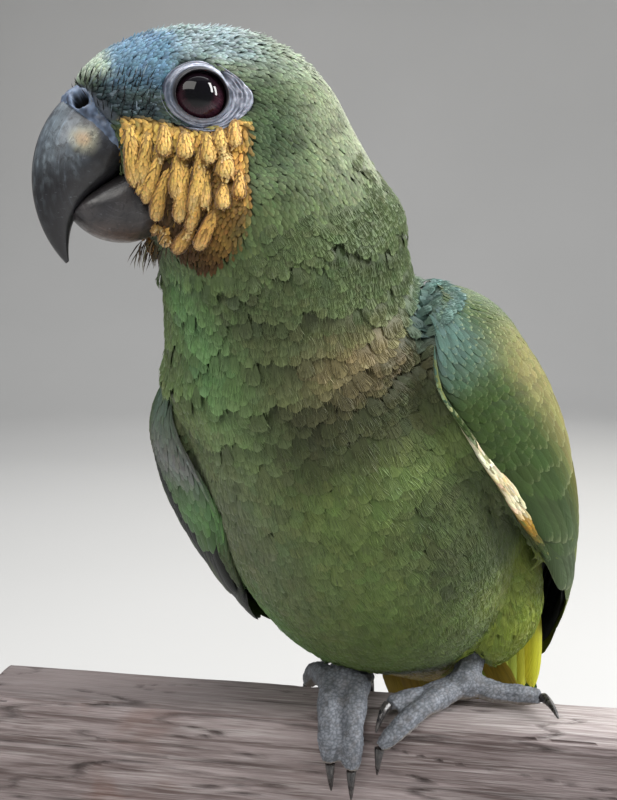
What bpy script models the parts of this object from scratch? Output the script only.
"""Orange-winged amazon parrot, life size, gripping a cut length of fence rail on a display stand.

Metres, +Z up. The origin is the middle of the stand's underside. The rail runs along X and the bird
faces -Y, a little towards -X, with its head turned to its right. Sizes in the tables are millimetres.
"""

import math

import bmesh
import bpy
from mathutils import Matrix, Vector

MM = 0.001
GAP = 0.35  # left between neighbouring solids

# Stand and rail
BASE_SIZE = (176, 124, 12)
BASE_CORNER = 16
ROD_RADIUS = 4
ROD_SPREAD = 58
RAIL_LENGTH = 196
RAIL_THICKNESS = 20
RAIL_HEIGHT = 46
RAIL_EDGE = 4.5  # radius of the worn upper edges
RAIL_TOP = 130
FEET = Vector((18, 0, RAIL_TOP))  # the point of the rail's top midway between the feet

# Trunk: a straight axis from the tail root up to the base of the neck, leaning over the right foot
TAIL_ROOT = FEET + Vector((15, 40, -2))
TRUNK_UP = Vector((-0.315, -0.477, 0.823)).normalized()
TRUNK_LEFT = Vector((0.944, -0.244, 0.224)).normalized()
TRUNK_FRONT = TRUNK_LEFT.cross(TRUNK_UP).normalized()

# Head: turned 61 degrees to the right of -Y
HEAD_TURN = math.radians(61)
HEAD = FEET + Vector((-45, -43, 145))  # midway between the eyes
HEAD_FRONT = Vector((-math.sin(HEAD_TURN), -math.cos(HEAD_TURN), 0))
HEAD_LEFT = Vector((math.cos(HEAD_TURN), -math.sin(HEAD_TURN), 0))

# Trunk sections: distance up the axis, half width, depth in front, depth behind and shift to the left
TRUNK_SECTIONS = [
    (-8, 12, 9, 9, 0),
    (5, 18, 14, 13, -1),
    (22, 25, 22.6, 20, -4.8),
    (45, 34.8, 36.2, 27, -4.4),
    (70, 39.5, 41.5, 30, -2.2),
    (95, 38, 38.5, 30.5, -0.8),
    (112, 34, 33, 30, -1.5),
]
# Neck sections: centre from the feet, then half width, depth in front and depth behind
NECK_SECTIONS = [
    (Vector((-28.5, -19, 99)), 31.6, 28.5, 29),
    (Vector((-29, -27, 117)), 28.8, 25.5, 28.5),
    (Vector((-35, -35, 134)), 24, 21, 25),
]
# Head sections along the line of sight of the bill: forward, half width, top and underside
HEAD_SECTIONS = [
    (22, 6, 4.6, -3),
    (19.5, 8.6, 7.6, -8),
    (16, 10.6, 10.2, -14),
    (10, 13, 13.4, -22),
    (4, 15.3, 15.8, -28.5),
    (-4, 17, 16.6, -31),
    (-12, 18, 16.6, -31),
    (-20, 18, 14, -28),
    (-28, 15.5, 8.5, -22),
    (-34, 10, 1, -16),
]
EYE_OUT = 10.9
EYE_RADIUS = 6.7

# Bill outlines in the head's middle plane, forward and up, as Bezier handles
CULMEN = ((20.5, 3.2), (32.5, -4.5), (33, -22), (24.3, -31.2))
UPPER_TOMIUM = ((9.5, -9), (15.5, -18.5), (24, -17), (23.6, -30.6))
LOWER_TOMIUM = ((5.5, -8), (13, -13.5), (19.5, -15.5), (22.3, -20.6))
LOWER_KEEL = ((6, -24.5), (12, -29), (20, -26.5), (22.8, -22.2))
UPPER_WIDTHS = (8.2, 8.2, 7.7, 6.7, 5.4, 4.1, 2.8, 1.1)
LOWER_WIDTHS = (7.2, 7.5, 7.3, 6.7, 5.7, 4.0)
CERE_END = 0.11  # share of the upper bill's length that is cere

# Wings: distance up the trunk axis, half width and depth of the outer surface, then the angles of the
# leading and the trailing edge round the axis (0 in front, 90 at the side, 180 at the back), thickness,
# and how much further out the left and the right wing are held
WING_SECTIONS = [
    (123, 34, 19, 70, 124, 5.0, 0, 3),
    (116, 40, 28, 48, 140, 7.0, 2, 6),
    (102, 43.5, 33, 43, 152, 8.0, 4, 9.5),
    (86, 45.5, 35, 48, 160, 8.0, 4.5, 11),
    (64, 45.5, 34, 56, 166, 7.0, 3.8, 12),
    (40, 43, 30, 66, 170, 6.0, 1.2, 12),
    (16, 38, 25, 82, 172, 5.0, -2, 9),
    (-8, 30, 20, 98, 172, 4.2, -5, 4),
    (-34, 22.5, 15.5, 111, 171, 3.6, -4.5, 0.5),
    (-58, 16, 12.5, 118, 168, 2.8, -2, 0),
    (-70, 12, 11, 124, 160, 2.2, -1, 0),
    (-76, 10, 10.5, 132, 150, 1.8, 0, 0),
]
WING_PARTING = 52  # where the coverts end and the flight feathers begin

# Tail: distance up the axis, half width, half thickness, and how far it lies in front of the axis
TAIL_SECTIONS = [
    (1.6, 17.5, 11.5, 0),
    (-12, 20.5, 8.5, 2.0),
    (-30, 22.5, 5.0, 3.0),
    (-55, 23.5, 3.0, 3.6),
    (-80, 22.0, 2.2, 3.8),
    (-94, 17.0, 1.5, 3.8),
    (-99, 9.0, 0.9, 3.8),
]

# Legs, from the feet's midpoint: hip, knee and ankle of the feathered thigh with radii, then the bare
# shank; for each toe its heading from -Y towards +X, its length, its claw's heading and how far its root
# lies to the side of the joint
LEGS = {
    "left": {
        "thigh": [(Vector((19, 8, 48)), 14), (Vector((25, 11, 23)), 12.6), (Vector((20, 15.5, 10)), 6.2)],
        "shank": [(Vector((18.4, 14, 12.6)), 4.4), (Vector((17, 8, 8.4)), 3.7), (Vector((15.6, 3, 5.6)), 4.3)],
        "toes": {1: (176, 15, 176, 0), 2: (-60, 21.5, -22, -1), 3: (-44, 30.5, -6, 0), 4: (87, 20, 20, 0)},
        "toe_radius": 3.3,
    },
    "right": {
        "thigh": [(Vector((-24, 4, 40)), 14), (Vector((-20, 8, 22)), 15), (Vector((-16.6, 9.5, 8.5)), 5.8)],
        "shank": [(Vector((-16.4, 9, 12.4)), 4.4), (Vector((-16, 3.2, 8.6)), 3.8), (Vector((-15.8, -2, 5.8)), 4.4)],
        "toes": {1: (168, 15, 172, 2), 2: (-1, 24, -1, 3.5), 3: (3, 22.5, 2, -3.6), 4: (-156, 21, -166, -4)},
        "toe_radius": 3.6,
    },
}
CLAW_LENGTH = {1: 7, 2: 7, 3: 6.5, 4: 8.5}
CLAW_RADIUS = 1.15

COLOURS = {
    "green": ((0.10, 0.17, 0.06), 0.75),
    "wing_green": ((0.08, 0.16, 0.06), 0.65),
    "flight_blue": ((0.02, 0.04, 0.05), 0.55),
    "horn": ((0.05, 0.05, 0.055), 0.4),
    "cere": ((0.07, 0.075, 0.09), 0.6),
    "eye": ((0.05, 0.012, 0.012), 0.08),
    "foot": ((0.24, 0.25, 0.27), 0.7),
    "claw": ((0.03, 0.027, 0.025), 0.4),
    "rail_wood": ((0.32, 0.27, 0.25), 0.85),
    "stand_wood": ((0.20, 0.12, 0.07), 0.5),
    "steel": ((0.55, 0.55, 0.56), 0.3),
}


def clear_scene():
    for obj in list(bpy.data.objects):
        bpy.data.objects.remove(obj)


def material(name):
    found = bpy.data.materials.get(name)
    if found:
        return found
    colour, roughness = COLOURS[name]
    made = bpy.data.materials.new(name)
    made.use_nodes = True
    shader = made.node_tree.nodes["Principled BSDF"]
    shader.inputs["Base Color"].default_value = (*colour, 1)
    shader.inputs["Roughness"].default_value = roughness
    shader.inputs["Metallic"].default_value = 1.0 if name == "steel" else 0.0
    return made


def add_object(name, mesh, finish):
    obj = bpy.data.objects.new(name, mesh)
    obj.data.materials.append(material(finish))
    bpy.context.scene.collection.objects.link(obj)
    return obj


def object_from(name, bm, finish):
    bmesh.ops.recalc_face_normals(bm, faces=bm.faces)
    mesh = bpy.data.meshes.new(name)
    bm.to_mesh(mesh)
    bm.free()
    mesh.shade_smooth()
    mesh.set_sharp_from_angle(angle=math.radians(38))
    return add_object(name, mesh, finish)


def smooth_step(share):
    return share * share * (3 - 2 * share)


def between(table, where):
    """The row of a table at a place given by its first column, on smooth curves through its rows."""
    rows = sorted(table)
    where = min(max(where, rows[0][0]), rows[-1][0])
    index = max(i for i in range(len(rows) - 1) if rows[i][0] <= where or i == 0)
    low, high = rows[index], rows[index + 1]
    before = rows[max(index - 1, 0)]
    after = rows[min(index + 2, len(rows) - 1)]
    step = high[0] - low[0]
    t = (where - low[0]) / step
    row = []
    for k in range(1, len(low)):
        slope_low = (high[k] - before[k]) / (high[0] - before[0]) * step
        slope_high = (after[k] - low[k]) / (after[0] - low[0]) * step
        row.append(
            (2 * t**3 - 3 * t**2 + 1) * low[k]
            + (t**3 - 2 * t**2 + t) * slope_low
            + (3 * t**2 - 2 * t**3) * high[k]
            + (t**3 - t**2) * slope_high
        )
    return row


def bezier(handles, t):
    """A point on a cubic Bezier curve given by four handles of any dimension."""
    shares = ((1 - t) ** 3, 3 * t * (1 - t) ** 2, 3 * t * t * (1 - t), t**3)
    return [sum(s * h[k] for s, h in zip(shares, handles)) for k in range(len(handles[0]))]


def loft(rings):
    """A closed bmesh through rings of points, in millimetres, by extruding the first ring's edge."""
    bm = bmesh.new()
    ring = [bm.verts.new(p * MM) for p in rings[0]]
    first = bm.faces.new(ring)
    edges = list(first.edges)
    for points in rings[1:]:
        made = bmesh.ops.extrude_edge_only(bm, edges=edges)["geom"]
        new_verts = {v for v in made if isinstance(v, bmesh.types.BMVert)}
        edges = [e for e in made if isinstance(e, bmesh.types.BMEdge)]
        edges = [e for e in edges if e.verts[0] in new_verts and e.verts[1] in new_verts]
        ring = [next(e.other_vert(v) for e in v.link_edges if e.other_vert(v) in new_verts) for v in ring]
        for vert, point in zip(ring, points):
            vert.co = point * MM
    bm.faces.new(ring)
    bmesh.ops.recalc_face_normals(bm, faces=bm.faces)
    return bm


def section(centre, left, front, half_width, depth_front, depth_back, sides=28, power=2.25):
    """A ring round a body: a rounded section, wider than an ellipse, with its own depth each way."""
    points = []
    for k in range(sides):
        angle = 2 * math.pi * k / sides
        across, along = math.sin(angle), math.cos(angle)
        round_off = (abs(across) ** power + abs(along) ** power) ** (-1 / power)
        depth = depth_front if along > 0 else depth_back
        points.append(centre + left * (across * half_width * round_off) + front * (along * depth * round_off))
    return points


def on_trunk(up, left, front):
    """A point given in the trunk's own frame: up its axis, to its left and to its front."""
    return TAIL_ROOT + TRUNK_UP * up + TRUNK_LEFT * left + TRUNK_FRONT * front


def on_head(forward, left, up):
    return HEAD + HEAD_FRONT * forward + HEAD_LEFT * left + Vector((0, 0, up))


def body_rings(grow):
    rings = []
    low, high = TRUNK_SECTIONS[0][0], TRUNK_SECTIONS[-1][0]
    for k in range(21):
        up = low + (high - low) * k / 20
        width, front, back, shift = between(TRUNK_SECTIONS, up)
        rings.append(
            section(on_trunk(up, shift, 0), TRUNK_LEFT, TRUNK_FRONT, width + grow, front + grow, back + grow)
        )
    for k, (centre, width, front, back) in enumerate(NECK_SECTIONS):
        turn = smooth_step((k + 1) / len(NECK_SECTIONS))
        left = TRUNK_LEFT.lerp(HEAD_LEFT, turn)
        up = TRUNK_UP.lerp(Vector((-0.25, -0.35, 0.9)), turn)
        forward = left.cross(up).normalized()
        left = up.cross(forward).normalized()
        rings.append(section(FEET + centre, left, forward, width + grow, front + grow, back + grow))
    return rings


def head_rings(grow):
    rings = []
    last, first = HEAD_SECTIONS[-1][0], HEAD_SECTIONS[0][0]
    for k in range(19):
        forward = last + (first - last) * k / 18
        width, top, under = between(HEAD_SECTIONS, forward)
        middle = (top + under) / 2
        half = (top - under) / 2 + grow
        centre = on_head(forward, 0, middle)
        rings.append(section(centre, HEAD_LEFT, Vector((0, 0, 1)), width + grow, half, half, power=2.15))
    return rings


def merged(name, lofts, voxel, smoothing, keep):
    """One mesh round several lofts: remeshed together, smoothed and thinned to a share of its faces."""
    bm = bmesh.new()
    for part in lofts:
        mesh = bpy.data.meshes.new("part")
        part.to_mesh(mesh)
        part.free()
        bm.from_mesh(mesh)
        bpy.data.meshes.remove(mesh)
    mesh = bpy.data.meshes.new(name)
    bm.to_mesh(mesh)
    bm.free()
    helper = bpy.data.objects.new(name, mesh)
    bpy.context.scene.collection.objects.link(helper)
    remesh = helper.modifiers.new("remesh", "REMESH")
    remesh.mode = "VOXEL"
    remesh.voxel_size = voxel * MM
    smooth = helper.modifiers.new("smooth", "SMOOTH")
    smooth.factor = 0.5
    smooth.iterations = smoothing
    thin = helper.modifiers.new("thin", "DECIMATE")
    thin.ratio = keep
    graph = bpy.context.evaluated_depsgraph_get()
    made = bpy.data.meshes.new_from_object(helper.evaluated_get(graph))
    bpy.data.objects.remove(helper)
    return made


def cut_copy(mesh, planes):
    """A bmesh of what lies on the sides that the planes' normals point to, closed where it is cut."""
    bm = bmesh.new()
    bm.from_mesh(mesh)
    for point, normal in planes:
        everything = list(bm.verts) + list(bm.edges) + list(bm.faces)
        cut = bmesh.ops.bisect_plane(
            bm, geom=everything, plane_co=point * MM, plane_no=normal, clear_inner=True, dist=1e-7
        )
        rim = [e for e in cut["geom_cut"] if isinstance(e, bmesh.types.BMEdge)]
        bmesh.ops.contextual_create(bm, geom=rim)
    bmesh.ops.triangulate(bm, faces=[f for f in bm.faces if len(f.verts) > 4])
    return bm


def cutter(name, bm):
    obj = object_from(name, bm, "green")
    obj.hide_render = True
    obj.display_type = "WIRE"
    return obj


def cut_by(obj, *cutters):
    for tool in cutters:
        modifier = obj.modifiers.new(tool.name, "BOOLEAN")
        modifier.operation = "DIFFERENCE"
        modifier.object = tool
    return obj


def bill_rings(outer, inner, widths, grow, ridge, span=(0, 1), sides=12):
    """Rings across the bill: each spans the outer and the inner outline, narrower at the outer ridge."""
    rings = []
    steps = max(3, int(len(widths) * 1.6 * (span[1] - span[0])))
    for k in range(steps):
        t = span[0] + (span[1] - span[0]) * k / (steps - 1)
        out_f, out_u = bezier(outer, t)
        in_f, in_u = bezier(inner, t)
        place = t * (len(widths) - 1)
        index = min(int(place), len(widths) - 2)
        width = widths[index] + (widths[index + 1] - widths[index]) * (place - index) + grow
        middle = ((out_f + in_f) / 2, (out_u + in_u) / 2)
        reach = Vector((out_f - middle[0], out_u - middle[1]))
        reach *= 1 + grow / reach.length
        ring = []
        for j in range(sides):
            angle = 2 * math.pi * j / sides
            along = math.cos(angle)
            across = math.copysign(abs(math.sin(angle)) ** 0.8, math.sin(angle)) * width
            across *= 1 - ridge * along
            ring.append(on_head(middle[0] + reach[0] * along, across, middle[1] + reach[1] * along))
        rings.append(ring)
    return rings


def sphere(centre, radius, segments=16):
    bm = bmesh.new()
    place = Matrix.Translation(centre * MM)
    bmesh.ops.create_uvsphere(bm, u_segments=segments, v_segments=segments // 2, radius=radius * MM, matrix=place)
    return bm


def tube_rings(path, radii, sides=10):
    """Rings along a path, each turned as little as possible from the one before it."""
    tangents = []
    for k in range(len(path)):
        ahead, behind = path[min(k + 1, len(path) - 1)], path[max(k - 1, 0)]
        tangents.append((ahead - behind).normalized())
    side = tangents[0].orthogonal().normalized()
    rings = []
    for point, tangent, radius in zip(path, tangents, radii):
        side = (side - tangent * side.dot(tangent)).normalized()
        other = tangent.cross(side)
        angles = [2 * math.pi * k / sides for k in range(sides)]
        rings.append([point + (side * math.cos(a) + other * math.sin(a)) * radius for a in angles])
    return rings


def over_rail(across, lift):
    """(y, z) of a line that runs across the rail's top at a height and on down its front or back face."""
    flat = RAIL_THICKNESS / 2 - RAIL_EDGE
    radius = RAIL_EDGE + lift
    side = -1 if across < 0 else 1
    past = abs(across) - flat
    if past <= 0:
        return across, RAIL_TOP + lift
    bend = math.pi / 2 * radius
    if past < bend:
        angle = past / radius
        return side * (flat + radius * math.sin(angle)), RAIL_TOP - RAIL_EDGE + radius * math.cos(angle)
    return side * (flat + radius), RAIL_TOP - RAIL_EDGE - (past - bend)


def toe_line(start, heading, length, lift_start, lift_end, steps=12):
    """Points that leave a place (x, distance across the rail) at a heading and follow the rail round."""
    points = []
    for k in range(steps + 1):
        t = k / steps
        x = start[0] + math.sin(heading) * length * t
        across = start[1] - math.cos(heading) * length * t
        lift = lift_start + (lift_end - lift_start) * min(1, 2.2 * t)
        y, z = over_rail(across, lift)
        points.append(Vector((x, y, z)))
    return points


def make_toe(joint, toe, heading, length, claw_heading, aside, radius):
    """The toe's loft and its claw's loft, set on the toe's end and bent to the rail."""
    start = (FEET.x + joint.x + aside, FEET.y + joint.y)
    heading, claw_heading = math.radians(heading), math.radians(claw_heading)
    radius = radius * (0.9 if toe == 1 else 1)
    lift = radius + 0.45
    line = toe_line(start, heading, length, joint.z, lift)
    swell = [1 + 0.07 * math.cos(2 * math.pi * k / len(line) * 3) for k in range(len(line))]
    radii = [radius * (1 - 0.28 * k / len(line)) * s for k, s in enumerate(swell)]
    radii[-1] *= 0.72
    toe_mesh = loft(tube_rings(line, radii))
    end = (start[0] + math.sin(heading) * length, start[1] - math.cos(heading) * length)
    begin = (end[0] + math.sin(claw_heading) * GAP, end[1] - math.cos(claw_heading) * GAP)
    last = 6
    claw_line = []
    for k, point in enumerate(toe_line(begin, claw_heading, CLAW_LENGTH[toe], lift, lift, last)):
        share = k / last
        arch = 0.5 * math.sin(math.pi * share) - radius * 0.45 * share**2
        across = begin[1] - math.cos(claw_heading) * CLAW_LENGTH[toe] * share
        low_y, low_z = over_rail(across, lift - 1)
        away = Vector((0, point.y - low_y, point.z - low_z)).normalized()
        claw_line.append(point + away * arch)
    claw_radii = [CLAW_RADIUS * (1 - k / last) ** 0.7 + 0.28 for k in range(last + 1)]
    return toe_mesh, loft(tube_rings(claw_line, claw_radii, 7))


def make_body():
    body = merged("body", [loft(body_rings(0)), loft(head_rings(0))], 2.2, 6, 0.064)
    head_cut = on_head(-17, 0, -18.5)
    head_up = (HEAD_FRONT * 0.6 + Vector((0, 0, 0.8))).normalized()
    neck_cut = on_trunk(110, 0, 0)
    half_gap = GAP / 2
    tail_cut = on_trunk(2, 0, 0)
    head = object_from("head", cut_copy(body, [(head_cut + head_up * half_gap, head_up)]), "green")
    neck_planes = [(head_cut - head_up * half_gap, -head_up), (neck_cut + TRUNK_UP * half_gap, TRUNK_UP)]
    object_from("neck", cut_copy(body, neck_planes), "green")
    trunk_planes = [(neck_cut - TRUNK_UP * half_gap, -TRUNK_UP), (tail_cut, TRUNK_UP)]
    object_from("trunk", cut_copy(body, trunk_planes), "green")
    return head


def make_face(head):
    """Bill, cere and eyes, each let into the head with a small gap."""
    upper = (CULMEN, UPPER_TOMIUM, UPPER_WIDTHS)
    lower = (LOWER_KEEL, LOWER_TOMIUM, LOWER_WIDTHS)
    tools = []
    gap_share = GAP / 40
    object_from("cere", loft(bill_rings(*upper, 0.25, 0.24, (0, CERE_END))), "cere")
    object_from("bill_upper", loft(bill_rings(*upper, 0, 0.24, (CERE_END + gap_share, 1))), "horn")
    object_from("bill_lower", loft(bill_rings(*lower, 0, 0.2)), "horn")
    tools.append(cutter("upper_room", loft(bill_rings(*upper, GAP + 0.25, 0.24))))
    tools.append(cutter("lower_room", loft(bill_rings(*lower, GAP, 0.2))))
    cut_by(bpy.data.objects["bill_lower"], tools[0])
    for side, sign in (("left", 1), ("right", -1)):
        centre = on_head(0, sign * EYE_OUT, 0)
        object_from("eye_" + side, sphere(centre, EYE_RADIUS), "eye")
        tools.append(cutter("eye_room_" + side, sphere(centre, EYE_RADIUS + GAP)))
    cut_by(head, *tools)


def wing_ring(up, sign, points=8):
    width, depth, lead, trail, thickness, left_out, right_out = between(WING_SECTIONS, up)
    width += left_out if sign > 0 else right_out
    ring = []
    for inner in (False, True):
        for k in range(points):
            share = k / (points - 1)
            if inner:
                share = 1 - share
            angle = math.radians(lead + (trail - lead) * share)
            inset = thickness * (0.5 if not 0 < k < points - 1 else 1) if inner else 0
            if not inner and (k == 0 or k == points - 1):
                inset = thickness * 0.22
            ring.append(
                on_trunk(up, sign * (width - inset) * math.sin(angle), (depth - inset) * math.cos(angle))
            )
    return ring


def make_wings(body_room, tail_room):
    ends = (WING_SECTIONS[-1][0], WING_SECTIONS[0][0])
    for side, sign in (("left", 1), ("right", -1)):
        spans = {"wing": (WING_PARTING + GAP / 2, ends[1]), "flight": (ends[0], WING_PARTING - GAP / 2)}
        for kind, (low, high) in spans.items():
            steps = 10
            rings = [wing_ring(low + (high - low) * k / steps, sign) for k in range(steps + 1)]
            finish = "wing_green" if kind == "wing" else "flight_blue"
            wing = object_from(f"{kind}_{side}", loft(rings), finish)
            cut_by(wing, body_room, tail_room)


def tail_ring(up, grow):
    width, half, front = between(TAIL_SECTIONS, up)
    return section(
        on_trunk(up, 0, front), TRUNK_LEFT, TRUNK_FRONT, width + grow, half + grow, half + grow, 16, 2.6
    )


def make_tail():
    low, high = TAIL_SECTIONS[-1][0], TAIL_SECTIONS[0][0]
    places = [high + (low - high) * k / 12 for k in range(13)]
    object_from("tail", loft([tail_ring(up, 0) for up in places]), "green")
    return cutter("tail_room", loft([tail_ring(up, GAP) for up in places]))


def make_legs():
    for side, leg in LEGS.items():
        hip, knee, ankle = (FEET + point for point, _ in leg["thigh"])
        places = [bezier((hip, knee, knee, ankle), k / 9) for k in range(10)]
        sizes = [r for _, r in leg["thigh"]]
        radii = [bezier([(sizes[0],), (sizes[1],), (sizes[1],), (sizes[2],)], k / 9)[0] for k in range(10)]
        path = [Vector(p) for p in places]
        thigh = object_from("thigh_" + side, loft(tube_rings(path, radii, 14)), "green")
        pocket = cutter("thigh_room_" + side, loft(tube_rings(path, [r + GAP for r in radii], 14)))
        cut_by(bpy.data.objects["trunk"], pocket)
        cut_by(bpy.data.objects["wing_" + side], pocket)
        cut_by(bpy.data.objects["flight_" + side], pocket)
        shank_path = [FEET + point for point, _ in leg["shank"]]
        shank_radii = [r for _, r in leg["shank"]]
        joint = leg["shank"][-1][0]
        pad = sphere(FEET + joint, shank_radii[-1] + 0.3, 14)
        lofts = [loft(tube_rings(shank_path, shank_radii)), pad]
        for toe, (heading, length, claw_heading, aside) in leg["toes"].items():
            toe_mesh, claw = make_toe(joint, toe, heading, length, claw_heading, aside, leg["toe_radius"])
            lofts.append(toe_mesh)
            object_from(f"claw_{side}_{toe}", claw, "claw")
        foot = add_object("foot_" + side, merged("foot", lofts, 0.7, 3, 0.045), "foot")
        shank_room = [r + GAP for r in shank_radii]
        over = (shank_path[0] - shank_path[1]).normalized() * GAP
        room_path = [shank_path[0] + over, *shank_path, shank_path[-1] - over]
        room = cutter("shank_room_" + side, loft(tube_rings(room_path, [shank_room[0], *shank_room, shank_room[-1]])))
        pad_room = cutter("pad_room_" + side, sphere(FEET + joint, shank_radii[-1] + 0.3 + GAP, 14))
        foot_room = cutter("foot_room_" + side, bm_copy(foot))
        spread = foot_room.modifiers.new("spread", "DISPLACE")
        spread.strength = GAP * MM
        spread.mid_level = 0
        cut_by(thigh, room, pad_room, foot_room)
        cut_by(bpy.data.objects["trunk"], room, pad_room, foot_room)
        claw_rooms = []
        for toe in leg["toes"]:
            claw = bpy.data.objects[f"claw_{side}_{toe}"]
            tool = cutter(f"claw_room_{side}_{toe}", bm_copy(claw))
            grow = tool.modifiers.new("grow", "DISPLACE")
            grow.strength = GAP * MM
            grow.mid_level = 0
            claw_rooms.append(tool)
        cut_by(foot, *claw_rooms)


def bm_copy(obj):
    bm = bmesh.new()
    bm.from_mesh(obj.data)
    return bm


def rail_profile():
    half = RAIL_THICKNESS / 2
    flat = half - RAIL_EDGE
    arc = [(flat + RAIL_EDGE * math.sin(a), -RAIL_EDGE + RAIL_EDGE * math.cos(a)) for a in
           (math.pi / 2 * k / 5 for k in range(6))]
    right = arc + [(half, -RAIL_HEIGHT + 2), (half - 2, -RAIL_HEIGHT)]
    left = [(-y, z) for y, z in reversed(right)]
    return right + left


def make_rail():
    rings = []
    for x in (-RAIL_LENGTH / 2, RAIL_LENGTH / 2):
        rings.append([Vector((x, y, RAIL_TOP + z)) for y, z in rail_profile()])
    object_from("perch_rail", loft(rings), "rail_wood")


def rounded_plate(size, corner, low):
    """A flat plate with rounded corners and a chamfered upper edge."""
    length, depth, height = size
    rings = []
    for inset, z in ((0, low), (0, low + height - 1.5), (1.5, low + height)):
        ring = []
        for quarter, (sx, sy) in enumerate(((1, 1), (-1, 1), (-1, -1), (1, -1))):
            for k in range(5):
                angle = math.pi / 2 * (quarter + k / 4)
                x = sx * (length / 2 - corner) + (corner - inset) * math.cos(angle)
                y = sy * (depth / 2 - corner) + (corner - inset) * math.sin(angle)
                ring.append(Vector((x, y, z)))
        rings.append(ring)
    return loft(rings)


def make_stand():
    object_from("stand_base", rounded_plate(BASE_SIZE, BASE_CORNER, 0), "stand_wood")
    for name, sign in (("stand_rod_left", 1), ("stand_rod_right", -1)):
        low = BASE_SIZE[2] + GAP
        high = RAIL_TOP - RAIL_HEIGHT - GAP
        path = [Vector((sign * ROD_SPREAD, 0, z)) for z in (low, high)]
        object_from(name, loft(tube_rings(path, [ROD_RADIUS] * 2, 16)), "steel")


def main():
    clear_scene()
    head = make_body()
    make_face(head)
    room = merged("body_room", [loft(body_rings(GAP + 0.25)), loft(head_rings(GAP + 0.25))], 2.2, 6, 0.06)
    body_room = cutter("body_room", cut_copy(room, []))
    tail_room = make_tail()
    make_wings(body_room, tail_room)
    make_legs()
    make_rail()
    make_stand()


main()
